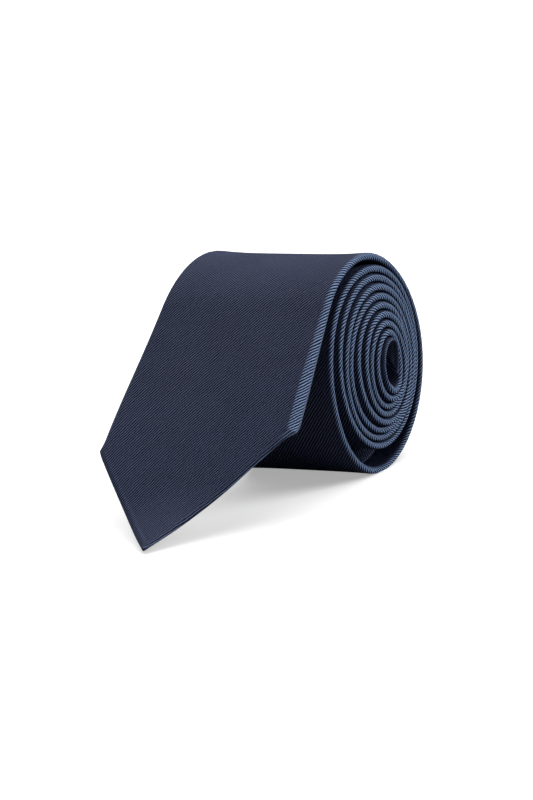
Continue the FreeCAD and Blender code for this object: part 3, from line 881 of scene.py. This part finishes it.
def tube(name, paths, radius, material):
    """Round thread along paths; each path is (points, up) in metres."""
    sides = 6
    vertices, faces, coordinates = [], [], []
    for points, up in paths:
        along = unit(np.gradient(points, axis=0))
        sideways = unit(np.cross(along, up))
        up = np.cross(sideways, along)
        travelled = np.concatenate([[0.0], np.cumsum(np.linalg.norm(np.diff(points, axis=0), axis=1))]) / MM
        thin = np.ones(len(points))
        thin[0] = thin[-1] = 0.35
        base = len(vertices)
        for i, point in enumerate(points):
            for side in range(sides):
                angle = 2 * math.pi * side / sides
                offset = math.cos(angle) * sideways[i] + math.sin(angle) * up[i]
                vertices.append(point + offset * radius * MM * thin[i])
                coordinates.append((side / sides, travelled[i] / 10))
        for i in range(len(points) - 1):
            for side in range(sides):
                a = base + i * sides + side
                b = base + i * sides + (side + 1) % sides
                faces.append((a, b, b + sides, a + sides))
        faces.append(tuple(base + side for side in range(sides))[::-1])
        last = base + (len(points) - 1) * sides
        faces.append(tuple(last + side for side in range(sides)))
    mesh = bpy.data.meshes.new(name)
    mesh.from_pydata([tuple(v) for v in vertices], [], faces)
    layer = mesh.uv_layers.new(name="cloth")
    for loop in mesh.loops:
        layer.data[loop.index].uv = coordinates[loop.vertex_index]
    mesh.polygons.foreach_set("use_smooth", np.ones(len(faces), bool))
    mesh.materials.append(material)
    piece = bpy.data.objects.new(name, mesh)
    bpy.context.scene.collection.objects.link(piece)
    return piece


def thread_path(distance, across, out):
    """A thread path through places on the tie."""
    points = place(distance, across[:, None], out[:, None])[:, 0]
    return points, axes_at(distance)[2]


STITCH = 4.2               # length of one slip stitch
SLIP_RADIUS = 0.16
TACK_RADIUS = 0.15
SEAM_RADIUS = 0.13         # for the machine stitches and the small crossed tacks
SEAM_PITCH = 2.6           # from one machine stitch to the next
SEAM_STITCH = 1.9          # length of one machine stitch


def slip_path(start, end):
    """A slip stitch that crosses the seam between the flaps to and fro."""
    distance = np.arange(start, end, STITCH / 8)
    phase = (distance / STITCH) % 1.0
    across = 0.75 * np.abs(phase * 2 - 1) * 2 - 0.75
    out = back_middle(distance) - 0.02 + 0.30 * np.abs(across) / 0.75
    return thread_path(distance, across, out)


def make_slip_stitches():
    nodes = {"blade": "slip_stitch_hanging", "outer_turn": "slip_stitch_outer_turn",
             "coil": "slip_stitch_rolled", "core": "slip_stitch_tail"}
    for stretch, low, high in CUTS:
        start = max(low, BLADE_TACK)
        end = min(high, LENGTH - TAIL_TACK)
        if end - start < 2 * STITCH:
            continue
        name = "slip_stitch_" + stretch + "_thread"
        piece = tube(name, [slip_path(start, end)], SLIP_RADIUS, NAVY_THREAD)
        follow(piece, stretch)
        if stretch in nodes:
            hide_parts(nodes[stretch])


def bar_tack(name, middle, body, node):
    """A dense zigzag of thread across the two flaps where they start to part."""
    count = 26
    across = np.linspace(-3.4, 3.4, count * 4)
    distance = middle + 0.8 * (2 * np.abs((np.linspace(0, count, count * 4) % 1.0) * 2 - 1) - 1)
    out = back_middle(distance) - 0.17
    piece = tube(name, [thread_path(distance, across, out)], TACK_RADIUS, NAVY_THREAD)
    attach(piece, body)
    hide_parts(node)


def seam_row(name, turn, body, node):
    """Machine stitches that join two panels, just under the silk."""
    paths = []
    middle = distance_at(turn)
    half = float(width_at(np.array(middle))) / 2 - 2.5
    for left in np.arange(-half, half - SEAM_PITCH, SEAM_PITCH):
        across = np.linspace(left, left + SEAM_STITCH, 5)
        distance = np.full(5, middle)
        out = front_middle(distance) - SILK - 0.22 + 0.1 * np.sin(np.linspace(0, math.pi, 5))
        paths.append(thread_path(distance, across, out))
    piece = tube(name, paths, SEAM_RADIUS, NAVY_THREAD)
    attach(piece, body)
    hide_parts(node)


# --- keeper loop and labels ------------------------------------------------------------------

def patch(name, middle, length, half_span, profile, material, node, across_middle=0.0):
    """A flat piece on the back of the tie.  profile(across share, along share) gives its out range."""
    distance = middle + length / 2 * np.linspace(-1.0, 1.0, 17)
    steps = np.linspace(-1.0, 1.0, 33)
    across = np.broadcast_to(across_middle + half_span * steps, (len(distance), len(steps)))
    along = np.linspace(-1.0, 1.0, len(distance))[:, None]
    high, low = profile(steps[None, :], along)
    outer = (across, np.broadcast_to(high, across.shape))
    inner = (across, np.broadcast_to(low, across.shape))
    points, normals, uv, _ = ribbon(distance, outer, inner)
    piece = closed_mesh(name, points, normals, uv, {})
    piece.data.materials.append(material)
    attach(piece, "coil")
    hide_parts(node)
    return piece


def rounded(share, edge):
    """1 over most of a width and a round fall to 0 at its sides."""
    near = np.clip((1 - np.abs(share)) / edge, 0.0, 1.0)
    return np.sqrt(1 - (1 - near) ** 2)


BACK = -MIDDLE_FRONT       # where the cloth's back lies in the middle of the tie
KEEPER_HALF_SPAN = 20.0
KEEPER_LENGTH = 15.0
KEEPER_ARCH = 3.0          # how far the band's middle stands off the tie


def keeper_profile(across, along):
    """A folded silk band: sewn down at both ends, arching off the tie between them."""
    rise = KEEPER_ARCH * smooth((1 - np.abs(across)) / 0.4)
    half = 0.55 * (0.2 + 0.8 * rounded(along, 0.09)) * (0.55 + 0.45 * rounded(across, 0.04))
    middle = BACK - 0.7 - rise
    return middle + half, middle - half


def label_profile(across, along):
    half = 0.14 * (0.3 + 0.7 * rounded(across, 0.03)) * (0.3 + 0.7 * rounded(along, 0.05))
    middle = BACK - 0.22 - 0.05 * np.cos(along * math.pi)
    return middle + half, middle - half


def care_profile(across, along):
    half = 0.12 * (0.3 + 0.7 * rounded(across, 0.05))
    middle = BACK - 0.58 - 0.06 * (1 - along ** 2)
    return middle + half, middle - half


def cross_tacks(name, places, size, out, node):
    """Small crossed stitches at the given (distance, across) places."""
    paths = []
    for middle, across in places:
        for slant in (-1, 1):
            share = np.linspace(-1.0, 1.0, 6)
            distance = middle + size * share
            sideways = across + size * 0.7 * slant * share
            height = np.full(6, out) + 0.18 * np.abs(share) ** 3
            paths.append(thread_path(distance, sideways, height))
    piece = tube(name, paths, SEAM_RADIUS, NAVY_THREAD)
    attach(piece, "coil")
    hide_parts(node)


def corners(middle, length_reach, span_reach):
    return [(middle + end * length_reach, side * span_reach) for side in (-1, 1) for end in (-1, 1)]


def make_back_pieces():
    keeper_at = distance_at(KEEPER_TURN)
    label_at = distance_at(LABEL_TURN)
    patch("keeper_band", keeper_at, KEEPER_LENGTH, KEEPER_HALF_SPAN, keeper_profile, SILK_CLOTH,
          "keeper_loop")
    cross_tacks("keeper_tacks", corners(keeper_at, 5.0, 18.5), 1.3, BACK - 1.35, "keeper_stitches")
    patch("label_plain", label_at, 22.0, 17.0, label_profile, LABEL_SATIN, "maker_label")
    patch("care_tab", label_at + 2.0, 12.0, 10.0, care_profile, CARE_TAPE, "care_label")
    cross_tacks("label_tacks", corners(label_at, 9.5, 15.0), 0.9, BACK - 0.48, "label_stitches")


# --- floor, light and camera ------------------------------------------------------------------

def make_floor():
    """A pale floor that looks white but throws little light back up."""
    g = Graph("pale_floor")
    grain = g.noise(g.node("ShaderNodeTexCoord").outputs[3], 40.0, 3.0)
    seen = g.node("ShaderNodeLightPath").outputs["Is Camera Ray"]
    pale = g.mix(grain, (0.92, 0.92, 0.92, 1), (0.96, 0.96, 0.96, 1))
    g.finish(
        Base_Color=g.mix(seen, (0.25, 0.25, 0.25, 1), pale), Roughness=0.9, Specular_IOR_Level=0.0,
        Emission_Color=(1, 1, 1, 1), Emission_Strength=g.math("MULTIPLY", seen, 0.38))
    mesh = bpy.data.meshes.new("floor")
    half = 6.0
    below = -0.00005
    round_about = [(-half, -half), (half, -half), (half, half), (-half, half)]
    mesh.from_pydata([(x, y, below) for x, y in round_about], [], [(0, 1, 2, 3)])
    mesh.materials.append(g.material)
    floor = bpy.data.objects.new("floor", mesh)
    bpy.context.scene.collection.objects.link(floor)


def broad_light(name, towards, spread, strength):
    """Even light from a wide disc in one direction."""
    light = bpy.data.lights.new(name, "SUN")
    light.angle = math.radians(spread)
    light.energy = strength
    lamp = bpy.data.objects.new(name, light)
    lamp.rotation_mode = "QUATERNION"
    lamp.rotation_quaternion = Vector(towards).to_track_quat("Z", "Y")
    bpy.context.scene.collection.objects.link(lamp)


def make_light():
    """Two broad lights and a white surround that gives the tie only a little light."""
    world = bpy.data.worlds.new("studio")
    bpy.context.scene.world = world
    world.use_nodes = True
    nodes = world.node_tree.nodes
    background = nodes["Background"]
    background.inputs[0].default_value = (1, 1, 1, 1)
    seen = nodes.new("ShaderNodeLightPath").outputs["Is Camera Ray"]
    strength = nodes.new("ShaderNodeMapRange")
    strength.inputs["To Min"].default_value = 0.12
    strength.inputs["To Max"].default_value = 1.0
    world.node_tree.links.new(seen, strength.inputs["Value"])
    world.node_tree.links.new(strength.outputs[0], background.inputs[1])
    broad_light("top", (-0.10, 0.15, 1.0), 80.0, 2.4)
    broad_light("key", (0.80, 0.50, 0.42), 35.0, 2.3)


CAMERA_PLACE = (0.4719, -0.7691, 0.2347)
CAMERA_YAW = 0.57          # radians to the left of straight ahead along +Y
CAMERA_PITCH = 0.2238      # downwards
CAMERA_TILT = -0.1086      # about the line of sight
CAMERA_LENS = 105.64


def make_camera():
    """A camera in front of the blade and to its right, a little above the roll."""
    forward = math.cos(CAMERA_PITCH)
    ahead = Vector((
        -math.sin(CAMERA_YAW) * forward, math.cos(CAMERA_YAW) * forward, -math.sin(CAMERA_PITCH)))
    right = Vector((math.cos(CAMERA_YAW), math.sin(CAMERA_YAW), 0.0))
    up = right.cross(ahead)
    level_right = right * math.cos(CAMERA_TILT) + up * math.sin(CAMERA_TILT)
    level_up = up * math.cos(CAMERA_TILT) - right * math.sin(CAMERA_TILT)
    data = bpy.data.cameras.new("camera")
    data.lens = CAMERA_LENS
    data.clip_start = 0.01
    camera = bpy.data.objects.new("camera", data)
    turn = Matrix((level_right, level_up, -ahead)).transposed().to_4x4()
    camera.matrix_world = Matrix.Translation(CAMERA_PLACE) @ turn
    bpy.context.scene.collection.objects.link(camera)
    bpy.context.scene.camera = camera


make_cloth()
make_slip_stitches()
bar_tack("bar_tack_blade_thread", BLADE_TACK + 1.6, "blade", "bar_tack_blade")
bar_tack("bar_tack_tail_thread", LENGTH - TAIL_TACK - 1.6, "core", "bar_tack_tail")
seam_row("neck_seam_row", NECK_SEAM_TURN, "coil", "neck_seam_thread")
seam_row("tail_seam_row", TAIL_SEAM_TURN, "core", "tail_seam_thread")
make_back_pieces()
make_floor()
make_light()
make_camera()
bpy.context.scene.view_settings.view_transform = "Standard"
